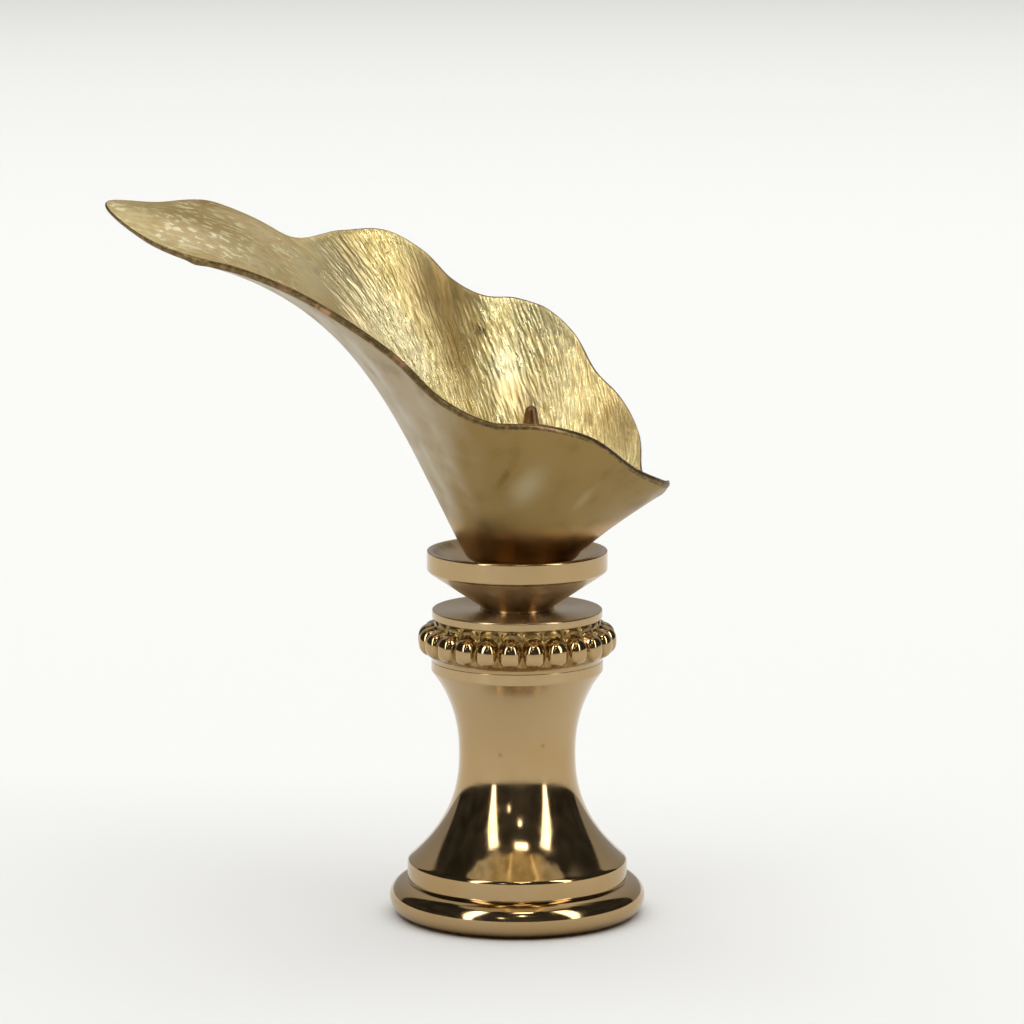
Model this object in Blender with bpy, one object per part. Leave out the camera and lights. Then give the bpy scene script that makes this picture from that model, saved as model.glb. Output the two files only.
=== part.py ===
"""Brass finial: a calla lily bloom of sheet brass on a turned spool with a ring of beads.

The origin is the centre of the foot's underside, on the axis that the base and the neck are
turned about. +Z is up, and the bloom's long lip points to -X. Sizes are in metres.
"""
import bisect
import math

import bmesh
import bpy
from mathutils import Matrix, Vector
from mathutils.geometry import interpolate_bezier

MM = 0.001
UP = Vector((0, 0, 1))

# Turned base, from the foot up
FOOT_DIAMETER = 22.2 * MM
FOOT_HEIGHT = 3.1 * MM
RING_DIAMETER = 19.1 * MM
RING_HEIGHT = 1.45 * MM
FLARE_FOOT_DIAMETER = 18.78 * MM
FLARE_STEP = 0.35 * MM
FLARE_HEIGHT = 9.3 * MM
WAIST_DIAMETER = 10.12 * MM
BELL_HEIGHT = 7.3 * MM
COLLAR_DIAMETER = 14.86 * MM
COLLAR_STEP = 0.13 * MM
COLLAR_HEIGHT = 0.9 * MM
BEAD_GROOVE_HEIGHT = 3.7 * MM
BEAD_GROOVE_DEPTH = 0.28 * MM
FLANGE_DIAMETER = 14.72 * MM
FLANGE_HEIGHT = 0.73 * MM

# How fast the two hollow sides leave the waist: 1 is a straight cone
FLARE_POWER = 2.4
BELL_POWER = 2.25

# Ring of beads, each wider than its share of the ring, so that it meets its neighbours
BEAD_COUNT = 24
BEAD_RING_DIAMETER = 17.2 * MM
BEAD_HEIGHT = 3.3 * MM
BEAD_SINK = 0.15 * MM
BEAD_OVERLAP = 1.15
FIRST_BEAD_ANGLE = math.radians(-94.5)

# Blind socket in the underside, where the lamp's threaded post goes
SOCKET_DIAMETER = 6.35 * MM
SOCKET_DEPTH = 9.5 * MM
SOCKET_CHAMFER = 0.4 * MM

# Dished neck between the base and the bloom
NECK_DIAMETER = 6.4 * MM
CONE_TOP_DIAMETER = 15.0 * MM
CONE_HEIGHT = 2.9 * MM
SAUCER_DIAMETER = 15.6 * MM
SAUCER_HEIGHT = 1.95 * MM
SAUCER_CHAMFER = 0.25 * MM
SAUCER_LIP = 0.45 * MM
SAUCER_DEPTH = 1.5 * MM
SAUCER_FLOOR_DIAMETER = 6.8 * MM
SAUCER_BOWL_POWER = 2.2

# Lily bloom, one sheet of brass rolled into a funnel
BLOOM_LENGTH = 48.4 * MM
BLOOM_DEPTH = 25.0 * MM
BLOOM_HEIGHT = 30.8 * MM
STEM_LEDGE = 1.0 * MM
HEEL_DIAMETER = 9.6 * MM
HEEL_HEIGHT = 1.0 * MM
HEEL_OFFSET = 0.4 * MM
SHEET_THICKNESS = 0.65 * MM

# Spadix, the rod inside the bloom
SPADIX_DIAMETER = 2.1 * MM
SPADIX_SHOULDER_DIAMETER = 1.35 * MM
SPADIX_SHOULDER_DROP = 1.4 * MM
SPADIX_TIP_DIAMETER = 0.85 * MM
SPADIX_HEIGHT = 12.8 * MM
SPADIX_OFFSET = 1.2 * MM

# Clearance between neighbouring pieces
PIECE_GAP = 0.3 * MM

# Mesh fineness
TURNED_SEGMENTS = 48
FLARE_STEPS = 8
BELL_STEPS = 5
FOOT_STEPS = 7
BEAD_COLUMNS = 4
BEAD_ROWS = 8
BOWL_STEPS = 4
BLOOM_SEGMENTS = 68
HEEL_RINGS = 2
BLOOM_RINGS = 9
RIM_SAMPLES = 24
SPADIX_SEGMENTS = 12
SPADIX_TIP_STEPS = 4
MERGE_DISTANCE = 0.001 * MM
SHARP_ANGLE = math.radians(35)

# Heights that follow from the sizes above
RING_TOP = FOOT_HEIGHT + RING_HEIGHT
FLARE_BOTTOM = RING_TOP + FLARE_STEP
WAIST_LEVEL = FLARE_BOTTOM + FLARE_HEIGHT
COLLAR_BOTTOM = WAIST_LEVEL + BELL_HEIGHT
COLLAR_TOP = COLLAR_BOTTOM + COLLAR_HEIGHT
FLANGE_BOTTOM = COLLAR_TOP + BEAD_GROOVE_HEIGHT
BASE_TOP = FLANGE_BOTTOM + FLANGE_HEIGHT
NECK_BOTTOM = BASE_TOP + PIECE_GAP
CONE_TOP = NECK_BOTTOM + CONE_HEIGHT
SAUCER_TOP = CONE_TOP + SAUCER_HEIGHT
SAUCER_FLOOR = SAUCER_TOP - SAUCER_DEPTH
STEM_DIAMETER = SAUCER_FLOOR_DIAMETER - 2 * STEM_LEDGE
BLOOM_BOTTOM = SAUCER_FLOOR + PIECE_GAP + SHEET_THICKNESS / 2
SPADIX_BOTTOM = BLOOM_BOTTOM + SHEET_THICKNESS / 2 + PIECE_GAP

# The bloom's rim, once round from the long lip's tip by the front. Each station is a share of
# the bloom's length from the axis, of its depth and of its height above the stem, and then
# how far the wall below it flares, from 0 for a cup's wall to 1 for the lip.
RIM_STATIONS = [
    (-0.727, 0.00, 0.994, 1.00),
    (-0.657, -0.12, 0.912, 0.97),
    (-0.576, -0.20, 0.866, 0.90),
    (-0.490, -0.26, 0.838, 0.78),
    (-0.388, -0.31, 0.780, 0.62),
    (-0.302, -0.37, 0.710, 0.45),
    (-0.215, -0.42, 0.620, 0.30),
    (-0.130, -0.47, 0.503, 0.15),
    (-0.048, -0.50, 0.445, 0.05),
    (0.039, -0.47, 0.436, 0.00),
    (0.126, -0.40, 0.394, 0.00),
    (0.207, -0.26, 0.290, 0.15),
    (0.271, -0.06, 0.216, 0.30),
    (0.250, 0.10, 0.186, 0.30),
    (0.227, 0.20, 0.222, 0.15),
    (0.222, 0.28, 0.316, 0.00),
    (0.190, 0.33, 0.418, 0.00),
    (0.143, 0.41, 0.492, 0.00),
    (0.104, 0.48, 0.592, 0.00),
    (0.051, 0.50, 0.663, 0.00),
    (-0.004, 0.49, 0.692, 0.00),
    (-0.064, 0.44, 0.705, 0.00),
    (-0.114, 0.45, 0.746, 0.05),
    (-0.167, 0.49, 0.824, 0.12),
    (-0.240, 0.50, 0.884, 0.25),
    (-0.320, 0.44, 0.887, 0.42),
    (-0.409, 0.31, 0.877, 0.60),
    (-0.479, 0.29, 0.932, 0.74),
    (-0.558, 0.26, 0.981, 0.88),
    (-0.645, 0.16, 0.984, 0.96),
]

# Handles of a wall's curve, as shares of its reach and its height: the lower handle and then
# the upper one, for a cup's wall and for the lip
CUP_HANDLES = (0.30, 0.23, 0.17, 0.33)
LIP_HANDLES = (0.22, 0.45, 0.66, 0.14)

# How far the walls leave the stem towards their own rim point, against an even fan
FAN_SHARE = 0.6


def clear_scene():
    for item in list(bpy.data.objects):
        bpy.data.objects.remove(item, do_unlink=True)


def brass(name, colour, roughness):
    material = bpy.data.materials.new(name)
    material.use_nodes = True
    shader = material.node_tree.nodes["Principled BSDF"]
    shader.inputs["Base Color"].default_value = (*colour, 1.0)
    shader.inputs["Metallic"].default_value = 1.0
    shader.inputs["Roughness"].default_value = roughness
    return material


def add_object(name, builder, material=None):
    mesh = bpy.data.meshes.new(name)
    builder.to_mesh(mesh)
    builder.free()
    mesh.shade_smooth()
    mesh.set_sharp_from_angle(angle=SHARP_ANGLE)
    if material:
        mesh.materials.append(material)
    item = bpy.data.objects.new(name, mesh)
    bpy.context.scene.collection.objects.link(item)
    return item


def turned(profile, segments):
    """A solid of revolution about Z, from (radius, height) points that start and end on Z."""
    builder = bmesh.new()
    points = [builder.verts.new((radius, 0, height)) for radius, height in profile]
    edges = [builder.edges.new(pair) for pair in zip(points, points[1:])]
    bmesh.ops.spin(
        builder,
        geom=points + edges,
        axis=(0, 0, 1),
        cent=(0, 0, 0),
        angle=2 * math.pi,
        steps=segments,
    )
    bmesh.ops.remove_doubles(builder, verts=builder.verts, dist=MERGE_DISTANCE)
    bmesh.ops.recalc_face_normals(builder, faces=builder.faces)
    return builder


def foot_edge():
    """The foot's rounded edge: half an ellipse from the ring down to the flat underside."""
    bulge = (FOOT_DIAMETER - RING_DIAMETER) / 2
    points = []
    for step in range(FOOT_STEPS + 1):
        angle = math.pi / 2 - math.pi * step / FOOT_STEPS
        radius = RING_DIAMETER / 2 + bulge * math.cos(angle)
        points.append((radius, FOOT_HEIGHT / 2 * (1 + math.sin(angle))))
    return points


def hollow_side(waist, wide, power, steps):
    """Points from the waist to the wide end of a hollow side."""
    points = []
    for step in range(steps + 1):
        share = step / steps
        radius = waist[0] + (wide[0] - waist[0]) * share**power
        points.append((radius, waist[1] + (wide[1] - waist[1]) * share))
    return points


def base_profile():
    flange = FLANGE_DIAMETER / 2
    collar = COLLAR_DIAMETER / 2
    groove = flange - BEAD_GROOVE_DEPTH
    ring = RING_DIAMETER / 2
    socket = SOCKET_DIAMETER / 2
    waist = (WAIST_DIAMETER / 2, WAIST_LEVEL)
    bell_top = (collar - COLLAR_STEP, COLLAR_BOTTOM)
    flare_foot = (FLARE_FOOT_DIAMETER / 2, FLARE_BOTTOM)
    profile = [(0, BASE_TOP), (flange, BASE_TOP), (flange, FLANGE_BOTTOM)]
    profile += [(groove, FLANGE_BOTTOM), (groove, COLLAR_TOP)]
    profile += [(collar, COLLAR_TOP), (collar, COLLAR_BOTTOM)]
    profile += hollow_side(waist, bell_top, BELL_POWER, BELL_STEPS)[::-1]
    profile += hollow_side(waist, flare_foot, FLARE_POWER, FLARE_STEPS)[1:]
    profile += [(flare_foot[0], RING_TOP), (ring, RING_TOP)]
    profile += foot_edge()
    profile += [(socket + SOCKET_CHAMFER, 0), (socket, SOCKET_CHAMFER)]
    profile += [(socket, SOCKET_DEPTH), (0, SOCKET_DEPTH)]
    return profile


def bead_outline(side):
    """Points down a bead's outside, side bead-widths from its middle, and back up within."""
    core = FLANGE_DIAMETER / 2 - BEAD_GROOVE_DEPTH - BEAD_SINK
    proud = BEAD_RING_DIAMETER / 2 - core
    level = (COLLAR_TOP + FLANGE_BOTTOM) / 2
    fullness = 1 - (2 * side / BEAD_OVERLAP) ** 2
    outline = []
    for row in range(BEAD_ROWS + 1):
        angle = math.pi * (row / BEAD_ROWS - 0.5)
        bulge = math.sqrt(max(0.0, fullness - math.sin(angle) ** 2))
        outline.append((core + proud * bulge, level - BEAD_HEIGHT / 2 * math.sin(angle)))
    inner = core - proud
    return outline + [(inner, level - BEAD_HEIGHT / 2), (inner, level + BEAD_HEIGHT / 2)]


def bead_ring(name):
    """A closed ring of beads in the groove, to be joined to the base."""
    builder = bmesh.new()
    columns = BEAD_COUNT * BEAD_COLUMNS
    loops = []
    for column in range(columns):
        side = (column / BEAD_COLUMNS + 0.5) % 1 - 0.5
        angle = FIRST_BEAD_ANGLE + 2 * math.pi * column / columns
        turn = Matrix.Rotation(angle, 3, "Z")
        outline = bead_outline(side)
        loops.append([builder.verts.new(turn @ Vector((r, 0, z))) for r, z in outline])
    for near, far in zip(loops, loops[1:] + loops[:1]):
        for row in range(len(near)):
            quad = (near[row - 1], near[row], far[row], far[row - 1])
            builder.faces.new(quad)
    bmesh.ops.recalc_face_normals(builder, faces=builder.faces)
    beads = add_object(name, builder)
    beads.hide_render = True
    beads.display_type = "WIRE"
    return beads


def make_base(material):
    """Foot, ring, hollow spool, collar, beads and flange, turned and beaded in one piece."""
    base = add_object("beaded_base", turned(base_profile(), TURNED_SEGMENTS), material)
    union = base.modifiers.new("join beads", "BOOLEAN")
    union.operation = "UNION"
    union.solver = "EXACT"
    union.object = bead_ring("bead_guide")
    return base


def neck_profile():
    """The neck's cone, its vertical edge and the dish in its top."""
    saucer = SAUCER_DIAMETER / 2
    dish = saucer - SAUCER_LIP
    floor = SAUCER_FLOOR_DIAMETER / 2
    profile = [(0, SAUCER_FLOOR)]
    for step in range(BOWL_STEPS + 1):
        share = step / BOWL_STEPS
        height = SAUCER_FLOOR + SAUCER_DEPTH * share**SAUCER_BOWL_POWER
        profile.append((floor + (dish - floor) * share, height))
    profile += [(saucer, SAUCER_TOP), (saucer, CONE_TOP + SAUCER_CHAMFER)]
    profile += [(CONE_TOP_DIAMETER / 2, CONE_TOP), (NECK_DIAMETER / 2, NECK_BOTTOM)]
    profile += [(0, NECK_BOTTOM)]
    return profile


def make_neck(material):
    return add_object("saucer_neck", turned(neck_profile(), TURNED_SEGMENTS), material)


def rim_knots():
    """The rim's stations, each a place in metres and then its flare, as four numbers."""
    knots = []
    for along, across, up, flare in RIM_STATIONS:
        height = BLOOM_BOTTOM + up * BLOOM_HEIGHT
        knots.append(Vector((along * BLOOM_LENGTH, across * BLOOM_DEPTH, height, flare)))
    return knots


def span(start, end):
    return (end.xyz - start.xyz).length


def rim_slope(before, here, after):
    """The rim's direction at a station, weighted towards its nearer neighbour."""
    back = span(before, here)
    forth = span(here, after)
    return ((here - before) * forth / back + (after - here) * back / forth) / (back + forth)


def rim_curve():
    """Closely spaced points round the rim, on a smooth closed curve through its stations."""
    knots = rim_knots()
    curve = []
    for index, start in enumerate(knots):
        before = knots[index - 1]
        end = knots[(index + 1) % len(knots)]
        after = knots[(index + 2) % len(knots)]
        leaving = rim_slope(before, start, end) * span(start, end)
        arriving = rim_slope(start, end, after) * span(start, end)
        for step in range(RIM_SAMPLES):
            t = step / RIM_SAMPLES
            point = start * (2 * t**3 - 3 * t**2 + 1) + end * (3 * t**2 - 2 * t**3)
            point += leaving * (t**3 - 2 * t**2 + t) + arriving * (t**3 - t**2)
            curve.append(point)
    return curve + curve[:1]


def rim_points():
    """Evenly spaced points round the rim, from the long lip's tip and by the front."""
    curve = rim_curve()
    distances = [0.0]
    for start, end in zip(curve, curve[1:]):
        distances.append(distances[-1] + span(start, end))
    points = []
    for number in range(BLOOM_SEGMENTS):
        target = distances[-1] * number / BLOOM_SEGMENTS
        index = bisect.bisect_right(distances, target) - 1
        share = (target - distances[index]) / (distances[index + 1] - distances[index])
        points.append(curve[index].lerp(curve[index + 1], share))
    return points


def bloom_wall(rim, round_share):
    """Points up one wall of the bloom: out of the stem, round the heel and up to the rim."""
    own_angle = (math.atan2(rim.y, rim.x) - math.pi) % (2 * math.pi)
    even_angle = 2 * math.pi * round_share
    angle = math.pi + FAN_SHARE * own_angle + (1 - FAN_SHARE) * even_angle
    outward = Vector((math.cos(angle), math.sin(angle), 0))
    middle = Vector((HEEL_OFFSET, 0, BLOOM_BOTTOM))
    wall = []
    for ring in range(HEEL_RINGS):
        turn = math.pi / 2 * ring / HEEL_RINGS
        radius = (STEM_DIAMETER + (HEEL_DIAMETER - STEM_DIAMETER) * math.sin(turn)) / 2
        wall.append(middle + outward * radius + UP * HEEL_HEIGHT * (1 - math.cos(turn)))
    heel = middle + outward * HEEL_DIAMETER / 2 + UP * HEEL_HEIGHT
    reach = rim.xyz - heel
    handles = [cup + (lip - cup) * rim.w for cup, lip in zip(CUP_HANDLES, LIP_HANDLES)]
    low = heel + Vector((reach.x * handles[0], reach.y * handles[0], reach.z * handles[1]))
    high = rim.xyz - Vector((reach.x * handles[2], reach.y * handles[2], reach.z * handles[3]))
    return wall + interpolate_bezier(heel, low, high, rim.xyz, BLOOM_RINGS + 1)


def make_bloom(material):
    """The bloom: walls lofted from the stem to the rim, closed below, then thickened."""
    builder = bmesh.new()
    walls = []
    for number, rim in enumerate(rim_points()):
        wall = bloom_wall(rim, number / BLOOM_SEGMENTS)
        walls.append([builder.verts.new(point) for point in wall])
    for near, far in zip(walls, walls[1:] + walls[:1]):
        for ring in range(len(near) - 1):
            builder.faces.new((near[ring], far[ring], far[ring + 1], near[ring + 1]))
    builder.faces.new([wall[0] for wall in reversed(walls)])
    bloom = add_object("lily_bloom", builder, material)
    sheet = bloom.modifiers.new("sheet", "SOLIDIFY")
    sheet.thickness = SHEET_THICKNESS
    sheet.offset = 0
    sheet.use_even_offset = True
    return bloom


def spadix_profile():
    """The rod's outline from its rounded tip down: the tip, a shoulder and a slow taper."""
    tip = SPADIX_TIP_DIAMETER / 2
    profile = []
    for step in range(SPADIX_TIP_STEPS + 1):
        angle = math.pi / 2 * step / SPADIX_TIP_STEPS
        profile.append((tip * math.sin(angle), SPADIX_HEIGHT - tip * (1 - math.cos(angle))))
    profile.append((SPADIX_SHOULDER_DIAMETER / 2, SPADIX_HEIGHT - SPADIX_SHOULDER_DROP))
    profile += [(SPADIX_DIAMETER / 2, 0), (0, 0)]
    return profile


def make_spadix(material):
    spadix = add_object("spadix", turned(spadix_profile(), SPADIX_SEGMENTS), material)
    spadix.location = (SPADIX_OFFSET, 0, SPADIX_BOTTOM)
    return spadix


def main():
    clear_scene()
    polished = brass("polished brass", (0.80, 0.58, 0.31), 0.12)
    gilt = brass("textured brass", (0.83, 0.68, 0.34), 0.28)
    copper = brass("coppery brass", (0.55, 0.30, 0.17), 0.35)
    make_base(polished)
    make_neck(polished)
    make_bloom(gilt)
    make_spadix(copper)


main()
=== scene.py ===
"""Looks of the brass lily finial: fine meshes and brass finishes that stand for its solids.

Sizes are in metres unless a name says otherwise, +Z is up, and the origin is the centre of the
foot's underside. The bloom's long lip points to -X, and the photograph looks along +Y.
"""

import math

import bpy
import numpy as np
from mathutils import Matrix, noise


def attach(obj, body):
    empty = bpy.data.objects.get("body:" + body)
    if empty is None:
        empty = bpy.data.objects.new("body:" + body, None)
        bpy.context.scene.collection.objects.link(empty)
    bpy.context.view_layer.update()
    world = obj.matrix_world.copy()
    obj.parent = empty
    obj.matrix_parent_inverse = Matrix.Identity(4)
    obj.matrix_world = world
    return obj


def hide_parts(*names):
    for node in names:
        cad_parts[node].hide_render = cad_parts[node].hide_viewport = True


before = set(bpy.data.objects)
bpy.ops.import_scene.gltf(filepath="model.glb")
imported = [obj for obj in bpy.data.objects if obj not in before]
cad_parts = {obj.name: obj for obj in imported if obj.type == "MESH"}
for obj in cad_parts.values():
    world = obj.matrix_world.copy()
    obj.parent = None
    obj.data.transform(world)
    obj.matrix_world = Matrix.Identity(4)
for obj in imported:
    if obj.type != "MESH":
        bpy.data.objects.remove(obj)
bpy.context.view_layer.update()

MM = 0.001

# Camera, placed where the photograph was taken from
CAMERA_PLACE = (-0.45 * MM, -411.1 * MM, 101.4 * MM)
CAMERA_PITCH = math.radians(90 - 9.14)
CAMERA_LENS = 169.95
CAMERA_SENSOR = 36.0
CAMERA_NEAR = 0.01
CAMERA_FAR = 50

# Turned base, from the foot up
FOOT_DIAMETER = 22.2 * MM
FOOT_HEIGHT = 3.1 * MM
RING_DIAMETER = 19.1 * MM
RING_HEIGHT = 1.45 * MM
FLARE_FOOT_DIAMETER = 18.78 * MM
FLARE_STEP = 0.35 * MM
FLARE_SHOULDER_SHARE = 0.4
FLARE_HEIGHT = 9.3 * MM
WAIST_DIAMETER = 10.12 * MM
BELL_HEIGHT = 7.3 * MM
COLLAR_DIAMETER = 14.86 * MM
COLLAR_STEP = 0.05 * MM
COLLAR_FADE = 1.5 * MM
COLLAR_HEIGHT = 0.9 * MM
BEAD_GROOVE_HEIGHT = 3.7 * MM
BEAD_GROOVE_DEPTH = 0.28 * MM
FLANGE_DIAMETER = 14.72 * MM
FLANGE_HEIGHT = 0.73 * MM
FLARE_POWER = 2.4
BELL_POWER = 2.25

# Ring of beads
BEAD_COUNT = 24
BEAD_RING_DIAMETER = 17.2 * MM
BEAD_DROP = 0.17 * MM
BEAD_UPPER_HEIGHT = 1.4 * MM
BEAD_LOWER_HEIGHT = 1.2 * MM
BEAD_SINK = 0.15 * MM
BEAD_WIDTH_SHARE = 1.02
BEAD_TAPER = 0.22
BEAD_BLUNTNESS = 2.6
BEAD_FILLET = 0.06 * MM
BAND_PROUD = 0.55 * MM
BAND_FOOT = 0.7 * MM
BAND_TOP = 1.5 * MM
BAND_FADE = 3.0 * MM
SCALLOP_RISE = 1.45 * MM
SCALLOP_HEIGHT = 1.1 * MM
SCALLOP_WIDTH_SHARE = 0.9
SCALLOP_PROUD = 0.16 * MM
FIRST_BEAD_ANGLE = math.radians(-94.5)
BEAD_DIRT = 1.1
BEAD_DIRT_DEPTH = 0.35 * MM
BEAD_DIRT_START = 0.2 * MM
BEAD_DIRT_FULL = 0.7 * MM

# Socket in the underside, with the thread of a lamp's post: 27 turns to the inch
SOCKET_DIAMETER = 6.35 * MM
SOCKET_DEPTH = 9.5 * MM
SOCKET_CHAMFER = 0.4 * MM
THREAD_PITCH = 25.4 * MM / 27
THREAD_DEPTH = 0.3 * MM
THREAD_FADE_RATE = 12
SOCKET_GRIME = 0.4

# Dark pits on the front of the waist, in millimetres, and how satin the bell and flange are
WAIST_PITS = [(-1.48, -4.85, 14.95), (2.21, -4.6, 15.65)]
PIT_RADIUS = 0.16 * MM
BELL_SATIN = 0.45

# How far inside an edge the satin tops start to turn polished, and have turned
SATIN_FADE_START = 0.3 * MM
SATIN_FADE_END = 0.05 * MM
SAUCER_SIDE_POLISH = 0.7

# Dished neck
NECK_DIAMETER = 6.4 * MM
CONE_TOP_DIAMETER = 15.0 * MM
CONE_HEIGHT = 2.9 * MM
SAUCER_DIAMETER = 15.6 * MM
SAUCER_HEIGHT = 1.95 * MM
SAUCER_CHAMFER = 0.25 * MM
SAUCER_LIP = 0.45 * MM
SAUCER_DEPTH = 1.5 * MM
SAUCER_FLOOR_DIAMETER = 6.8 * MM
SAUCER_BOWL_POWER = 2.2
DISH_DIRT = 0.65
DISH_DIRT_INSET = 0.75 * MM
DISH_DIRT_REACH = 0.35 * MM
DISH_DIRT_CELL = 1.2 * MM

# Bloom
BLOOM_LENGTH = 48.4 * MM
BLOOM_DEPTH = 25.0 * MM
BLOOM_HEIGHT = 30.8 * MM
STEM_LEDGE = 1.0 * MM
HEEL_DIAMETER = 9.6 * MM
HEEL_HEIGHT = 1.0 * MM
HEEL_OFFSET = 0.4 * MM
SHEET_THICKNESS = 0.65 * MM

# Spadix
SPADIX_DIAMETER = 2.1 * MM
SPADIX_SHOULDER_DIAMETER = 1.4 * MM
SPADIX_SHOULDER_DROP = 1.4 * MM
SPADIX_TIP_DIAMETER = 1.05 * MM
SPADIX_HEIGHT = 12.8 * MM
SPADIX_OFFSET = 1.2 * MM

# The solids' clearance, which the pieces here close, with a slight sink into what carries them
PIECE_GAP = 0.3 * MM
SEAT_SINK = 0.03 * MM

# Heights that follow from the sizes above
RING_TOP = FOOT_HEIGHT + RING_HEIGHT
FLARE_BOTTOM = RING_TOP + FLARE_STEP
WAIST_LEVEL = FLARE_BOTTOM + FLARE_HEIGHT
COLLAR_BOTTOM = WAIST_LEVEL + BELL_HEIGHT
COLLAR_TOP = COLLAR_BOTTOM + COLLAR_HEIGHT
FLANGE_BOTTOM = COLLAR_TOP + BEAD_GROOVE_HEIGHT
BASE_TOP = FLANGE_BOTTOM + FLANGE_HEIGHT
CONE_TOP = BASE_TOP + PIECE_GAP + CONE_HEIGHT
SAUCER_TOP = CONE_TOP + SAUCER_HEIGHT
SAUCER_FLOOR = SAUCER_TOP - SAUCER_DEPTH
STEM_DIAMETER = SAUCER_FLOOR_DIAMETER - 2 * STEM_LEDGE
BLOOM_BOTTOM = SAUCER_FLOOR + PIECE_GAP + SHEET_THICKNESS / 2

# The bloom's rim, once round from the long lip's tip by the front. Each station is a share of
# the bloom's length from the axis, of its depth and of its height above the stem, and then
# how far the wall below it flares, from 0 for a cup's wall to 1 for the lip.
RIM_STATIONS = [
    (-0.727, 0.00, 0.994, 1.00),
    (-0.657, -0.12, 0.912, 0.97),
    (-0.576, -0.20, 0.866, 0.90),
    (-0.490, -0.26, 0.838, 0.78),
    (-0.388, -0.31, 0.780, 0.62),
    (-0.302, -0.37, 0.710, 0.45),
    (-0.215, -0.42, 0.620, 0.30),
    (-0.130, -0.47, 0.503, 0.15),
    (-0.048, -0.50, 0.445, 0.05),
    (0.039, -0.47, 0.436, 0.00),
    (0.126, -0.40, 0.394, 0.00),
    (0.207, -0.26, 0.290, 0.15),
    (0.271, -0.06, 0.216, 0.30),
    (0.250, 0.10, 0.186, 0.30),
    (0.227, 0.20, 0.222, 0.15),
    (0.222, 0.28, 0.316, 0.00),
    (0.190, 0.33, 0.418, 0.00),
    (0.143, 0.41, 0.492, 0.00),
    (0.104, 0.48, 0.592, 0.00),
    (0.051, 0.50, 0.663, 0.00),
    (-0.004, 0.49, 0.692, 0.00),
    (-0.064, 0.44, 0.705, 0.00),
    (-0.114, 0.45, 0.746, 0.05),
    (-0.167, 0.49, 0.824, 0.12),
    (-0.240, 0.50, 0.884, 0.25),
    (-0.320, 0.44, 0.887, 0.42),
    (-0.409, 0.31, 0.877, 0.60),
    (-0.479, 0.29, 0.932, 0.74),
    (-0.558, 0.26, 0.981, 0.88),
    (-0.645, 0.16, 0.984, 0.96),
]
CUP_HANDLES = np.array((0.30, 0.23, 0.17, 0.33))
LIP_HANDLES = np.array((0.22, 0.45, 0.66, 0.10))
FAN_SHARE = 0.6

# Mesh fineness
TURNED_COLUMNS = 192
BEAD_COLUMNS = 768
SOCKET_COLUMNS = 96
BEAD_ROWS = 42
FLARE_ROWS = 48
SHOULDER_ROWS = 4
BELL_ROWS = 30
FOOT_ROWS = 22
BOWL_ROWS = 16
CORNER_ROWS = 5
CORNER_REACH = 0.14 * MM
CORNER_SUPPORT = 0.03 * MM
CORNER_LIMIT = 0.35
CORNER_TURN = math.cos(math.radians(155))
THREAD_ROWS = 80
UNDERSIDE_ROW = 2.0 * MM
BASE_HUB_RADII = (1.0 * MM, 2.0 * MM)
INSIDE_WALLS = 1280
EDGE_WALLS = 640
OUTSIDE_WALLS = 320
HUB_WALLS = 40
HUB_SHARES = (0.3, 0.6, 0.9)
INSIDE_RINGS = 56
OUTSIDE_RINGS = 42
RIM_SAMPLES = 24
HEEL_SAMPLES = 8
WALL_SAMPLES = 60
EDGE_ROUND = 0.13 * MM
EDGE_ROWS = 3
EDGE_BEVEL_ACROSS = 0.45 * MM
EDGE_BEVEL_DOWN = 0.42 * MM
RIM_THINNING = 0.045 * MM
RIM_THINNING_START = 0.8
RIDGE_FADE_RINGS = 4
SPADIX_COLUMNS = 64
HUB_COLUMNS = 48
SPADIX_TIP_ROWS = 12

# How the grain's lines drift round the sheet from rim to stem, in turns, and where, as rim shares
GRAIN_DRIFT = 0.14
GRAIN_DRIFT_PLACE = 0.53
GRAIN_DRIFT_SPREAD = 0.2

# Ridges
BARK_HEIGHT = 0.1 * MM
DRAWN_FALLOFF = 0.7
LONG_RIDGE_WIDTH = 0.34 * MM
LONG_RIDGE_REACH = 1.0 * MM
LONG_RIDGE_SPREAD = 1.7
LONG_RIDGE_SHARE = 0.6
FINE_RIDGE_WIDTH = 0.21 * MM
FINE_RIDGE_REACH = 0.55 * MM
FINE_RIDGE_SPREAD = 0.3
FINE_RIDGE_SEED = 31.7
BEND_LENGTH = 1.4 * MM
BEND_REACH = 0.16 * MM
BEND_SHIFTS = (0.0, 17.3, 41.9)
SMOOTH_RELIEF = 0.18

# The line from rim to rim where the smooth lip ends and the bark begins, in millimetres
LIP_LINE_X = -15.6
LIP_LINE_Z = 54.2
LIP_LINE_ACROSS = 0.807
LIP_LINE_UP = 0.592
LIP_LINE_SOFT = (-0.5, 0.4)
LIP_LINE_WANDER = 0.7
LIP_LINE_CELL = 1.3 * MM

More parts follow.
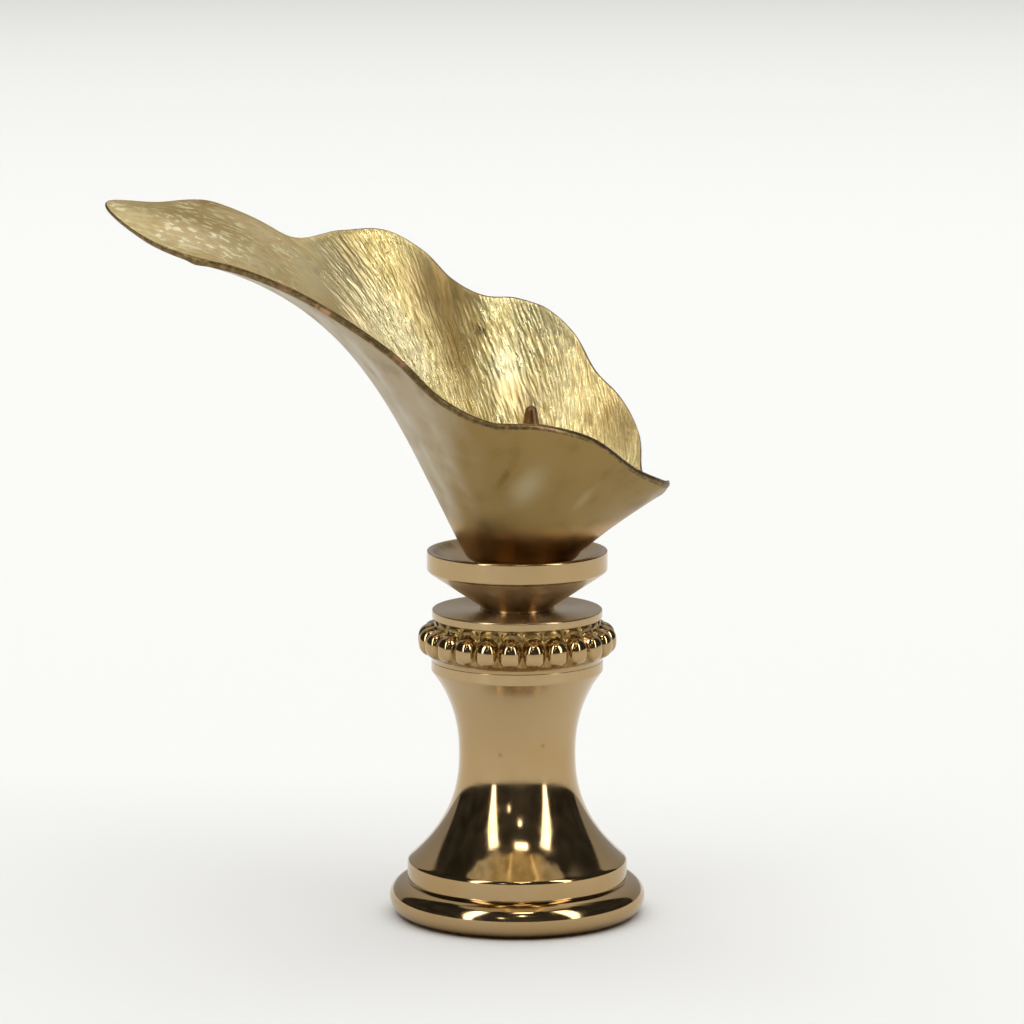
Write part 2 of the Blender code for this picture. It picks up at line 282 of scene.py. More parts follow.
# Soft oval patches, which patches() reads, and the depths between which a half's patches fade in
PATCH_BORDER = (-3.0, 1.0)
SMOOTH_PATCHES = [
    (-6.9, 53.9, 2.6, 3.0, -25, 0.75),
    (-0.2, 44.4, 2.0, 1.2, 0, 0.8),
    (-14.6, 55.0, 1.6, 3.0, -25, 0.4),
]
# Tones of the inside, as patches: a negative strength lightens the colour as a painted highlight, and
# a positive one darkens it as painted shade and stain
INSIDE_STAINS_AND_PAINTED_LIGHT = [
    (-28.5, 60.5, 8.0, 5.0, 0, 0.62),
    (-17.5, 55.8, 2.2, 3.0, -25, -1.0),
    (-6.9, 53.9, 2.8, 3.2, -25, 0.75),
    (-5.4, 48.6, 1.9, 4.6, -20, 0.95),
    (-9.6, 48.6, 2.0, 4.4, -30, -1.0),
    (-13.4, 52.6, 2.2, 4.4, -30, -0.6),
    (-1.0, 46.8, 2.2, 2.0, -20, -0.9),
    (8.8, 41.6, 1.8, 2.6, -20, 1.25),
    (-3.4, 49.8, 0.7, 0.3, 20, 1.5),
    (6.2, 42.2, 0.4, 0.45, -20, 1.5),
    (-26.6, 61.5, 0.5, 0.3, 0, 1.0),
    (1.5, 50.6, 3.0, 1.6, 30, -0.4),
]
# Where the ridges are steeper on one side than on the other
LEANING_RIDGES = [
    (-9.6, 48.6, 2.6, 5.0, -30, 0.9),
    (-13.0, 52.4, 2.6, 4.6, -30, 0.6),
]
# Tones of the outside: positive patches are olive stains, and negative ones are painted light, a lit
# crease and pale streaks of light across the cup
OUTSIDE_STAINS_AND_PAINTED_LIGHT = [
    (0.0, 42.4, 2.2, 0.7, 95, 0.35),
    (-1.0, 40.0, 0.4, 1.5, 30, 0.9),
    (-2.8, 37.9, 0.7, 0.7, 0, 0.6),
    (0.7, 38.9, 1.4, 2.4, 38, -0.7),
    (5.6, 37.6, 0.4, 1.6, 42, -0.5),
    (-7.0, 41.3, 0.4, 3.4, 4, -0.5),
]
EDGE_TONES = [
    (-19.6, 55.6, 1.0, 1.2, 0, 0.75),
    (-15.6, 53.4, 1.8, 1.2, 0, 0.3),
    (-9.8, 49.8, 1.0, 1.2, 0, 0.6),
    (2.3, 44.5, 1.5, 1.2, 0, 0.6),
]

# The right tip's small hook
TIP_PLACE = np.array((13.0, -1.0, 37.0)) * MM
TIP_LIFT = 0.45 * MM
TIP_REACH = 1.5 * MM

# A lump on the edge under the long lip
LUMP_PLACE = np.array((-27.0, -5.0, 57.4)) * MM
LUMP_RADIUS = 0.8 * MM
LUMP_REACH = 0.16 * MM

# How worn the cut edge is, and over what lengths
WORN_SHARE = 0.15
WORN_CELL = 0.9 * MM

# Polished brass: how far turning marks draw reflections out up and down at full satin, the
# heights of the turning marks and dents, and the roughness
TURNED_STRETCH = 0.9
TURNING_HEIGHT = 0.0012 * MM
DENT_HEIGHT = 0.006 * MM
POLISHED_ROUGHNESS = (0.08, 0.15)
DIRT_ROUGHNESS = 0.22
SATIN_ROUGHNESS = 0.2

# Flecks along the long lip, with a small bump and painted glints in their colour
FLECK_LEAN = math.radians(22)
FLECK_STRETCH = 2.2
FLECK_SCALE = 2300.0
FLECK_ROOT = -17.0 * MM
FLECK_FULL = -20.5 * MM
FLECK_HEIGHT = 0.02 * MM

# How many ridges to the millimetre across the grain and along it
STRAND_SCALE = (3.1, 0.7, 1.0)
STRAND_HEIGHT = 0.105 * MM
GRIT_HEIGHT = 0.008 * MM

# Leaning ridges: their width, how far they wander, in widths, the wander's scale, and their height
LEANING_WIDTH = 0.36
LEANING_DRIFT = 5.0
DRIFT_SCALE = (0.9, 0.45, 1.0)
LEANING_HEIGHT = 0.078 * MM

# Relief of the other finishes, the cut edge's roughness and how the rod's streaks are drawn out
BLOTCH_HEIGHT = 0.01 * MM
EDGE_MOTTLE_HEIGHT = 0.03 * MM
EDGE_CRUMB_HEIGHT = 0.02 * MM
EDGE_ROUGHNESS = 0.38
ROD_STREAKS = (1, 1, 0.25)

# Reflectances of the finishes
POLISHED = (0.455, 0.318, 0.163)
POLISHED_WARM = (0.445, 0.30, 0.137)
# The satin parts' colour is lighter than the polished brass of the same metal: painted light that
# keeps the satin tops bright
SATIN_TOP_PAINTED_LIGHTER = (0.50, 0.365, 0.20)
GROOVE_DIRT = (0.24, 0.15, 0.045)
BARK_GOLD = (0.96, 0.81, 0.42)
BARK_DARK = (0.51, 0.385, 0.135)
BARK_GREEN = (0.76, 0.67, 0.31)
BARK_STAIN_AND_PAINTED_SHADE = (0.34, 0.23, 0.08)
BARK_PAINTED_HIGHLIGHT = (0.98, 0.90, 0.58)
BARK_GRAZING = (1.0, 0.88, 0.58)
# The bark is warmer towards the lip and paler on the right, and the lip's root is browner
BARK_WARM = (0.92, 0.70, 0.25)
BARK_WARM_START = -6.0 * MM
BARK_WARM_FULL = -11.0 * MM
BARK_WARM_SHARE = 0.35
BARK_PALE = (0.98, 0.93, 0.66)
BARK_PALE_START = 1.5 * MM
BARK_PALE_FULL = 4.5 * MM
BARK_PALE_SHARE = 0.14
LIP_ROOT = (0.86, 0.63, 0.31)
LIP_ROOT_START = -22.0 * MM
LIP_ROOT_FULL = -16.5 * MM
LIP_TAN = (0.83, 0.67, 0.41)
LIP_GREEN = (0.80, 0.67, 0.38)
SATIN_BEIGE = (0.40, 0.32, 0.20)
SATIN_BROWN = (0.285, 0.19, 0.068)
SATIN_STAIN = (0.17, 0.115, 0.03)
SATIN_PALE_PAINTED_LIGHT = (0.42, 0.35, 0.20)
SATIN_WARM = (0.42, 0.25, 0.09)
# Where the outside turns from beige to brown across, how that line strays, and its warm foot
BROWN_START = -8.5 * MM
BROWN_FULL = -3.5 * MM
BROWN_WANDER = 1.5 * MM
WARM_FOOT_TOP = 35.3 * MM
WARM_FOOT_FULL = 34.2 * MM
EDGE_OLIVE = (0.24, 0.17, 0.075)
EDGE_DIRT = (0.15, 0.10, 0.042)
EDGE_COPPER = (0.50, 0.26, 0.15)
COPPER_BRIGHT = (0.34, 0.20, 0.10)
COPPER_DARK = (0.19, 0.105, 0.05)

# Patches of light in the dark room behind the camera: left, right, low, high, softness in
# degrees, and brightness
LIGHT_PATCHES = [
    (-17, -13, 20, 26, 0.8, 5.0),
    (2.5, 7.5, 35, 40, 0.8, 9.0),
    (-4, 20, 55.5, 60.5, 0.6, 9.0),
    (-30, 30, 0, 45, 14.0, 0.03),
    (100, 190, 54, 95, 6.0, 0.28),
]
# Tall lights that narrow downwards: middle, half width at the top, low, high, and brightness
TALL_LIGHTS = [(-45, 8.0, 1, 56), (53.5, 8.0, 1, 55)]
TALL_LIGHT_BRIGHT = 6.0
ROOM_DARK = 0.042
ROOM_SIDES = 128
ROOM_TOP = 61
# How far the room's upper edge strays, in degrees
ROOM_WAVE = 3.5
CEILING_SIDES = 95
STUDIO_WHITE = (1.0, 0.99, 0.97)
CEILING_WARM = (1.0, 0.78, 0.40)
CEILING_BEIGE = (1.0, 0.94, 0.78)
# Two bright marks overhead, by the sideways share of the mirrored direction, and their brightness
CEILING_MARKS = [(-0.105, -0.08), (0.20, 0.23)]
CEILING_MARK_BRIGHT = 1.6
CEILING_MARK_SOFT = 0.01
TENT_BRIGHT = 0.62
BACKDROP_BRIGHT = 0.40
FLOOR_COLOUR = (0.82, 0.82, 0.80)
FLOOR_SIZE = 8.0
FLOOR_ROUGHNESS = 0.9
FLOOR_SHINE = 0.2
CEILING_LIGHT_POWER = 49.5
CEILING_LIGHT_SIZE = 2.8
CEILING_LIGHT_BACK = 0.38
CEILING_LIGHT_HEIGHT = 1.3


# Small helpers

def smooth_step(values, start, end):
    share = np.clip((values - start) / (end - start), 0, 1)
    return share * share * (3 - 2 * share)


def unit(vectors):
    return vectors / np.linalg.norm(vectors, axis=-1, keepdims=True)


def noise_at(places):
    """Smooth noise at each of these places, about -1 to 1, the same in every run."""
    return np.array([noise.noise(place) for place in places.tolist()])


# Meshes made of closed loops of points

def strip_faces(near, far):
    """Faces between two closed loops of vertex numbers, where one may be a multiple of the other."""
    if len(near) < len(far):
        return [face[::-1] for face in strip_faces(far, near)]
    ratio = len(near) // len(far)
    ring = near + near[:1]
    faces = []
    for index, here in enumerate(far):
        following = far[(index + 1) % len(far)]
        faces.append(ring[index * ratio:(index + 1) * ratio + 1] + [following, here])
    return faces


def add_object(name, data):
    item = bpy.data.objects.new(name, data)
    bpy.context.scene.collection.objects.link(item)
    return item


def loft(name, loops, materials, slots=None):
    """A closed mesh through loops of points, with flat caps; slots gives each strip's material."""
    numbers = []
    total = 0
    for loop in loops:
        numbers.append(list(range(total, total + len(loop))))
        total += len(loop)
    faces = [numbers[0][::-1]]
    slot_of_face = [slots[0] if slots else 0]
    for index, (near, far) in enumerate(zip(numbers, numbers[1:])):
        strip = strip_faces(near, far)
        faces += strip
        slot_of_face += [slots[index] if slots else 0] * len(strip)
    faces.append(numbers[-1])
    slot_of_face.append(slots[-1] if slots else 0)
    mesh = bpy.data.meshes.new(name)
    mesh.from_pydata(np.concatenate(loops).tolist(), [], faces)
    mesh.polygons.foreach_set("material_index", slot_of_face)
    mesh.shade_smooth()
    for material in materials:
        mesh.materials.append(material)
    return add_object(name, mesh)


def add_attribute(piece, name, values):
    """Stores a number or a vector for each vertex, for the material's nodes to read."""
    values = np.asarray(values, np.float32)
    kind, field = ("FLOAT", "value") if values.ndim == 1 else ("FLOAT_VECTOR", "vector")
    attribute = piece.data.attributes.new(name, kind, "POINT")
    attribute.data.foreach_set(field, values.ravel())


def place_on_body(piece, node):
    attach(piece, "root")
    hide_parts(node)


# Turned pieces

def ring_of(radius, height, columns):
    """A level loop about Z; radius may be one number or one for each column."""
    angle = np.linspace(0, 2 * math.pi, columns, endpoint=False)
    level = np.full(columns, height)
    return np.stack([radius * np.cos(angle), radius * np.sin(angle), level], axis=1)


def curve_point(start, corner, end, share):
    """A point on the curve from start to end that is drawn towards the corner."""
    rest = 1 - share
    return start * rest**2 + corner * 2 * share * rest + end * share**2


def soften(profile):
    """Rounds the sharp corners of a profile, and adds a close row on each side of the curve."""
    profile = [np.array(point) for point in profile]
    rounded = [profile[0]]
    for before, corner, after in zip(profile, profile[1:], profile[2:]):
        back = before - corner
        forth = after - corner
        back_length = np.linalg.norm(back)
        forth_length = np.linalg.norm(forth)
        back = back / back_length
        forth = forth / forth_length
        if back @ forth < CORNER_TURN:
            rounded.append(corner)
            continue
        reach = min(CORNER_REACH, CORNER_LIMIT * back_length, CORNER_LIMIT * forth_length)
        support = min(CORNER_SUPPORT, reach / 3)
        start = corner + back * reach
        end = corner + forth * reach
        rounded.append(start + back * support)
        for step in range(CORNER_ROWS + 1):
            rounded.append(curve_point(start, corner, end, step / CORNER_ROWS))
        rounded.append(end + forth * support)
    rounded.append(profile[-1])
    return [tuple(point) for point in rounded]


def hollow_side(waist, wide, power, rows):
    """Points from the waist to the wide end of a hollow side."""
    points = []
    for row in range(rows + 1):
        share = row / rows
        radius = waist[0] + (wide[0] - waist[0]) * share**power
        points.append((radius, waist[1] + (wide[1] - waist[1]) * share))
    return points


def foot_edge():
    """The foot's rounded edge: half an ellipse from the ring down to the flat underside."""
    bulge = (FOOT_DIAMETER - RING_DIAMETER) / 2
    points = []
    for row in range(FOOT_ROWS + 1):
        angle = math.pi / 2 - math.pi * row / FOOT_ROWS
        radius = RING_DIAMETER / 2 + bulge * math.cos(angle)
        points.append((radius, FOOT_HEIGHT / 2 * (1 + math.sin(angle))))
    return points


def bead_swell(side, rise, width_share):
    """How proud a rounded barrel stands, 1 at its middle: side in bead pitches, rise from -1 to 1."""
    width_share = width_share - BEAD_TAPER * max(rise, 0)**2
    share = 1 - np.abs(2 * side / width_share)**BEAD_BLUNTNESS - abs(rise)**BEAD_BLUNTNESS
    return np.clip(share, 0, None)**(1 / BEAD_BLUNTNESS)


def smooth_greater(first, second, fillet):
    return (first + second + np.sqrt((first - second)**2 + fillet**2)) / 2


def bead_loops():
    """Loops down the groove and over its beads, with how grimy each point is."""
    collar = COLLAR_DIAMETER / 2
    groove = FLANGE_DIAMETER / 2 - BEAD_GROOVE_DEPTH
    core = groove - BEAD_SINK
    proud = BEAD_RING_DIAMETER / 2 - core
    middle = (COLLAR_TOP + FLANGE_BOTTOM) / 2 - BEAD_DROP
    turn = np.arange(BEAD_COLUMNS) / BEAD_COLUMNS - FIRST_BEAD_ANGLE / (2 * math.pi)
    side = turn * BEAD_COUNT
    side = side - np.round(side)
    loops = []
    grime = []
    for row in range(BEAD_ROWS + 1):
        height = FLANGE_BOTTOM + (COLLAR_TOP - FLANGE_BOTTOM) * row / BEAD_ROWS
        above = height - COLLAR_TOP
        band = collar + BAND_PROUD * min(above / BAND_FOOT, 1)**2
        wall = groove + (band - groove) * (1 - smooth_step(above, BAND_TOP, BAND_FADE))
        rise = (height - middle) / (BEAD_UPPER_HEIGHT if height > middle else BEAD_LOWER_HEIGHT)
        barrel = core + proud * bead_swell(side, rise, BEAD_WIDTH_SHARE)
        rise = (height - middle - SCALLOP_RISE) / (SCALLOP_HEIGHT / 2)
        wall = wall + SCALLOP_PROUD * bead_swell(side, rise, SCALLOP_WIDTH_SHARE)
        radius = smooth_greater(barrel, wall, BEAD_FILLET)
        radius = radius if row else np.full(BEAD_COLUMNS, groove)
        loops.append(ring_of(radius, height, BEAD_COLUMNS))
        dirt = np.clip(BEAD_DIRT - (radius - wall) / BEAD_DIRT_DEPTH, 0, 1)
        grime.append(dirt * smooth_step(above, BEAD_DIRT_START, BEAD_DIRT_FULL))
    return loops, grime


def upper_profile():
    flange = FLANGE_DIAMETER / 2
    groove = flange - BEAD_GROOVE_DEPTH
    return soften([
        (NECK_DIAMETER / 2, BASE_TOP),
        (flange, BASE_TOP),
        (flange, FLANGE_BOTTOM),
        (groove + CORNER_SUPPORT, FLANGE_BOTTOM),
    ])


def lower_profile():
    """Collar, bell, waist, flare, ring and foot, down to the flat underside."""
    collar = COLLAR_DIAMETER / 2
    waist = (WAIST_DIAMETER / 2, WAIST_LEVEL)
    bell_top = (collar - COLLAR_STEP, COLLAR_BOTTOM)
    flare_foot = np.array((FLARE_FOOT_DIAMETER / 2, FLARE_BOTTOM))
    shoulder = np.array((RING_DIAMETER / 2, FLARE_BOTTOM - FLARE_SHOULDER_SHARE * FLARE_STEP))
    ring_side = np.array((RING_DIAMETER / 2, RING_TOP))
    profile = [(collar - CORNER_SUPPORT, COLLAR_TOP), (collar, COLLAR_TOP - CORNER_SUPPORT)]
    profile += [(collar, COLLAR_BOTTOM)]
    for radius, height in hollow_side(waist, bell_top, BELL_POWER, BELL_ROWS)[-2::-1]:
        fade = smooth_step(height, COLLAR_BOTTOM - COLLAR_FADE, COLLAR_BOTTOM)
        profile.append((radius + COLLAR_STEP * fade, height))
    profile += hollow_side(waist, flare_foot, FLARE_POWER, FLARE_ROWS)[1:]
    for row in range(1, SHOULDER_ROWS + 1):
        profile.append(curve_point(flare_foot, shoulder, ring_side, row / SHOULDER_ROWS))
    profile += foot_edge()
    profile.append((SOCKET_DIAMETER / 2 + SOCKET_CHAMFER + UNDERSIDE_ROW, 0))
    return soften(profile)


def pits(points):
    """How grimy the waist's two pits make each point."""
    grime = np.zeros(len(points))
    for place in WAIST_PITS:
        distance = np.linalg.norm(points - np.array(place) * MM, axis=1)
        grime += np.exp(-(distance / PIT_RADIUS)**2)
    return np.clip(grime, 0, 1)


def socket_loops():
    """The threaded socket, from the chamfer at the underside up to its blind end."""
    wall = SOCKET_DIAMETER / 2
    loops = [
        ring_of(wall + SOCKET_CHAMFER + CORNER_SUPPORT, 0, SOCKET_COLUMNS),
        ring_of(wall + SOCKET_CHAMFER, 0, SOCKET_COLUMNS),
        ring_of(wall, SOCKET_CHAMFER, SOCKET_COLUMNS),
    ]
    turn = np.arange(SOCKET_COLUMNS) / SOCKET_COLUMNS
    for row in range(THREAD_ROWS + 1):
        share = row / THREAD_ROWS
        height = SOCKET_CHAMFER + (SOCKET_DEPTH - SOCKET_CHAMFER) * share
        phase = (height / THREAD_PITCH - turn) % 1
        crest = 1 - np.abs(2 * phase - 1)
        fade = min(1, share * THREAD_FADE_RATE, (1 - share) * THREAD_FADE_RATE)
        loops.append(ring_of(wall - THREAD_DEPTH * crest * fade, height, SOCKET_COLUMNS))
    return loops


def make_base(material):
    """Foot, flare, waist, bell, beads and flange, with the threaded socket below."""
    loops = [ring_of(radius, BASE_TOP, HUB_COLUMNS) for radius in BASE_HUB_RADII]
    loops += [ring_of(radius, height, TURNED_COLUMNS) for radius, height in upper_profile()]
    grime = [np.zeros(len(loop)) for loop in loops]
    beads, bead_grime = bead_loops()
    loops += beads
    grime += bead_grime
    lower = [ring_of(radius, height, TURNED_COLUMNS) for radius, height in lower_profile()]
    grime += [pits(loop) for loop in lower]
    loops += lower
    socket = socket_loops()
    loops += socket
    grime += [np.full(SOCKET_COLUMNS, SOCKET_GRIME)] * len(socket)
    base = loft("base_turned_brass", loops, [material])
    add_attribute(base, "grime", np.concatenate(grime))
    height = np.concatenate(loops)[:, 2]
    bell = smooth_step(height, WAIST_LEVEL, COLLAR_BOTTOM - COLLAR_FADE) * (height < COLLAR_TOP)
    top = smooth_step(height, BASE_TOP - SATIN_FADE_START, BASE_TOP - SATIN_FADE_END)
    flange = 1.0 * (height > FLANGE_BOTTOM)
    add_attribute(base, "satin", np.maximum(top, BELL_SATIN * np.maximum(bell, flange)))
    place_on_body(base, "beaded_base")


def neck_profile():
    """The neck from the middle of its dish, over the edge and down its cone."""
    saucer = SAUCER_DIAMETER / 2
    dish = saucer - SAUCER_LIP
    floor = SAUCER_FLOOR_DIAMETER / 2
    profile = [(floor / 2, SAUCER_FLOOR)]
    for row in range(BOWL_ROWS + 1):
        share = row / BOWL_ROWS
        height = SAUCER_FLOOR + SAUCER_DEPTH * share**SAUCER_BOWL_POWER
        profile.append((floor + (dish - floor) * share, height))
    profile += [(saucer, SAUCER_TOP), (saucer, CONE_TOP + SAUCER_CHAMFER)]
    profile += [(CONE_TOP_DIAMETER / 2, CONE_TOP)]
    profile += [(NECK_DIAMETER / 2, BASE_TOP + PIECE_GAP), (NECK_DIAMETER / 2, BASE_TOP - SEAT_SINK)]
    return soften(profile)


def make_neck(material):
    profile = neck_profile()
    loops = [ring_of(radius, height, TURNED_COLUMNS) for radius, height in profile]
    neck = loft("dished_neck_brass", loops, [material])
    side = SAUCER_DIAMETER / 2
    radius = np.repeat([point[0] for point in profile], TURNED_COLUMNS)
    height = np.repeat([point[1] for point in profile], TURNED_COLUMNS)
    dish = np.exp(-((radius - side + DISH_DIRT_INSET) / DISH_DIRT_REACH)**2)
    uneven = noise_at(np.concatenate(loops) / DISH_DIRT_CELL)
    dish = dish * (height > CONE_TOP + SAUCER_CHAMFER) * smooth_step(uneven, -0.05, 0.25)
    add_attribute(neck, "grime", DISH_DIRT * dish)
    outer = smooth_step(radius, side - SATIN_FADE_START, side - SATIN_FADE_END)
    add_attribute(neck, "satin", 1 - SAUCER_SIDE_POLISH * outer)
    place_on_body(neck, "saucer_neck")


# Bloom

def rim_curve():
    """The rim as points with their flare, on a smooth closed curve through the stations."""
    scale = np.array((BLOOM_LENGTH, BLOOM_DEPTH, BLOOM_HEIGHT, 1.0))
    knots = np.array(RIM_STATIONS) * scale + np.array((0, 0, BLOOM_BOTTOM, 0))
    following = np.roll(knots, -1, axis=0)
    forth = np.linalg.norm((following - knots)[:, :3], axis=1)[:, None]
    back = np.roll(forth, 1, axis=0)
    step = following - knots
    slope = (np.roll(step, 1, axis=0) * forth / back + step * back / forth) / (back + forth)
    leaving = slope * forth
    arriving = np.roll(slope, -1, axis=0) * forth
    rows = []
    for sample in range(RIM_SAMPLES):
        t = sample / RIM_SAMPLES
        point = knots * (2 * t**3 - 3 * t**2 + 1) + following * (3 * t**2 - 2 * t**3)
        rows.append(point + leaving * (t**3 - 2 * t**2 + t) + arriving * (t**3 - t**2))
    curve = np.stack(rows, axis=1).reshape(-1, 4)
    return np.vstack([curve, curve[:1]])


def even_points(curve, shares):
    """Points at these shares of a curve's length, which is measured on its first three numbers."""
    lengths = np.linalg.norm(np.diff(curve[:, :3], axis=0), axis=1)
    distance = np.concatenate([[0], np.cumsum(lengths)])
    places = np.asarray(shares) * distance[-1]
    return np.stack([np.interp(places, distance, column) for column in curve.T], axis=1)


def wall_curves(rim):
    """The sheet's middle surface: for each rim point, a wall from the stem to the rim."""
    count = len(rim)
    own_angle = (np.arctan2(rim[:, 1], rim[:, 0]) - math.pi) % (2 * math.pi)
    even_angle = 2 * math.pi * np.arange(count) / count
    angle = math.pi + FAN_SHARE * own_angle + (1 - FAN_SHARE) * even_angle
    outward = np.stack([np.cos(angle), np.sin(angle), np.zeros(count)], axis=1)[:, None]
    middle = np.array((HEEL_OFFSET, 0, BLOOM_BOTTOM))
    up = np.array((0, 0, 1.0))
    turn = (math.pi / 2 * np.arange(HEEL_SAMPLES) / HEEL_SAMPLES)[None, :, None]
    radius = (STEM_DIAMETER + (HEEL_DIAMETER - STEM_DIAMETER) * np.sin(turn)) / 2
    curl = middle + outward * radius + up * HEEL_HEIGHT * (1 - np.cos(turn))
    heel = middle + outward[:, 0] * HEEL_DIAMETER / 2 + up * HEEL_HEIGHT
    end = rim[:, :3]
    reach = end - heel
    handles = CUP_HANDLES + (LIP_HANDLES - CUP_HANDLES) * rim[:, 3:]
    low = heel + reach * handles[:, [0, 0, 1]]
    high = end - reach * handles[:, [2, 2, 3]]
    t = np.linspace(0, 1, WALL_SAMPLES)[None, :, None]
    side = heel[:, None] * (1 - t)**3 + low[:, None] * 3 * t * (1 - t)**2
    side = side + high[:, None] * 3 * t**2 * (1 - t) + end[:, None] * t**3
    return np.concatenate([curl, side], axis=1)


def sheet_grid(rim, rings, margin):
    """Even points up each wall to a margin under the rim, and the directions inward and along it."""
    walls = wall_curves(rim)
    grid = np.empty((len(rim), rings, 3))
    for index, wall in enumerate(walls):
        length = np.linalg.norm(np.diff(wall, axis=0), axis=1).sum()
        top = 1 - margin / length
        grid[index] = even_points(wall, np.linspace(0, top, rings))
    along = np.gradient(grid, axis=1)
    around = np.roll(grid, -1, axis=0) - np.roll(grid, 1, axis=0)
    inward = unit(np.cross(along, around))
    return grid, inward, unit(along)


def half_thickness(rings):
    """Half the sheet's thickness at each ring, a little less towards the rim."""
    rise = np.linspace(0, 1, rings)
    thinning = RIM_THINNING * smooth_step(rise, RIM_THINNING_START, 1)
    return (SHEET_THICKNESS / 2 - thinning)[None, :, None]


def along_grain(grid):
    """The same surface's points, with columns that drift round it as the grain does."""
    count, rings = grid.shape[:2]
    shares = np.arange(count) / count
    lean = GRAIN_DRIFT * np.exp(-((shares - GRAIN_DRIFT_PLACE) / GRAIN_DRIFT_SPREAD)**2)
    result = np.empty_like(grid)
    for ring in range(rings):
        place = (shares - lean * (1 - ring / (rings - 1))) * count
        near = np.floor(place).astype(int)
        part = (place - near)[:, None]
        result[:, ring] = grid[near % count, ring] * (1 - part) + grid[(near + 1) % count, ring] * part
    return result


def drawn_noise(points, headings, width, reach, seed):
    """Noise in cells of this width, drawn out by this reach each way along the headings."""
    steps = 4 * math.ceil(reach / width) + 1
    total = np.zeros(len(points))
    for share in np.linspace(-1, 1, steps):
        places = (points + headings * reach * share) / width + seed
        total += (1 - DRAWN_FALLOFF * share**2) * noise_at(places)
    return total / total.std()


def bark_relief(points, headings):
    """The inner face's relief from 0 to 1: long wavering ridges over shorter, finer ones."""
    bends = [noise_at(points / BEND_LENGTH + shift) for shift in BEND_SHIFTS]
    bent = points + BEND_REACH * np.array(bends).T
    long_noise = drawn_noise(bent, headings, LONG_RIDGE_WIDTH, LONG_RIDGE_REACH, 0)
    fine_noise = drawn_noise(bent, headings, FINE_RIDGE_WIDTH, FINE_RIDGE_REACH, FINE_RIDGE_SEED)
    long_ridges = 1 - np.abs(long_noise) / LONG_RIDGE_SPREAD
    fine_ridges = 0.5 + FINE_RIDGE_SPREAD * fine_noise
    return np.clip(LONG_RIDGE_SHARE * long_ridges + (1 - LONG_RIDGE_SHARE) * fine_ridges, 0, 1)


def patches(points, places, side):
    """How strongly soft oval patches cover each point, on the front (-1) or the back (1) half.

    A patch is its middle's x and z in millimetres, its half width and half height, its lean from
    upright towards +X in degrees, and its strength.
    """
    x, y, z = (points / MM).T
    total = np.zeros(len(points))
    for middle_x, middle_z, half_width, half_height, lean, strength in places:
        turn = math.radians(lean)
        across = (x - middle_x) * math.cos(turn) - (z - middle_z) * math.sin(turn)
        up = (x - middle_x) * math.sin(turn) + (z - middle_z) * math.cos(turn)
        total += strength * np.exp(-(across / half_width)**2 - (up / half_height)**2)
    return total * smooth_step(y * side, *PATCH_BORDER)


def smooth_share(points):
    """How smooth the inner face is: 1 on the long lip, 0 where the bark ridges are full."""
    x, _, z = (points / MM).T
    past_line = LIP_LINE_ACROSS * (x - LIP_LINE_X) + LIP_LINE_UP * (z - LIP_LINE_Z)
    past_line = past_line + LIP_LINE_WANDER * noise_at(points / LIP_LINE_CELL)
    lip = 1 - smooth_step(past_line, *LIP_LINE_SOFT)
    return np.clip(lip + patches(points, SMOOTH_PATCHES, 1), 0, 1)


def strand_places(grid):
    """For the material's ridges: each point's place across the grain and along it, in millimetres.

    The third number is for how much the ridges lean.
    """
    count, rings = grid.shape[:2]
    numbers = np.arange(count)
    rim_spacing = np.linalg.norm(np.roll(grid, -1, axis=0) - grid, axis=2)[:, -1].mean()
    across = np.minimum(numbers, count - numbers) * rim_spacing / MM
    steps = np.linalg.norm(np.diff(grid, axis=1), axis=2) / MM
    along = np.concatenate([np.zeros((count, 1)), np.cumsum(steps, axis=1)], axis=1)
    across = np.broadcast_to(across[:, None], (count, rings))
    return np.stack([across, along, np.zeros((count, rings))], axis=2)


def curled(rim):
    """The rim with its right tip lifted a little, as a small hook."""
    lift = TIP_LIFT * np.exp(-(np.linalg.norm(rim[:, :3] - TIP_PLACE, axis=1) / TIP_REACH)**2)
    return rim + lift[:, None] * np.array((0, 0, 1, 0))


def edge_loops(end, inward, outward, half):
    """Loops over the cut edge: a crisp corner inside, and a wide rounded bevel outside."""
    swell = np.exp(-(np.linalg.norm(end - LUMP_PLACE, axis=1) / LUMP_RADIUS)**2)[:, None]
    worn = 1 - WORN_SHARE + WORN_SHARE * noise_at(end / WORN_CELL)
    reach = EDGE_ROUND * worn[:, None] + LUMP_REACH * swell
    loops = []
    for turn in np.linspace(0, math.pi / 2, EDGE_ROWS + 1)[1:]:
        rise = half - EDGE_ROUND + EDGE_ROUND * math.cos(turn)
        loops.append(end + inward * rise + outward * reach * math.sin(turn))
    for turn in np.linspace(0, math.pi / 2, EDGE_ROWS + 2)[:-1]:
        rise = EDGE_BEVEL_ACROSS * (1 - math.sin(turn)) - half - LUMP_REACH * swell
        drop = EDGE_BEVEL_DOWN * (1 - math.cos(turn))
        loops.append(end + inward * rise + outward * (reach - drop))
    return loops


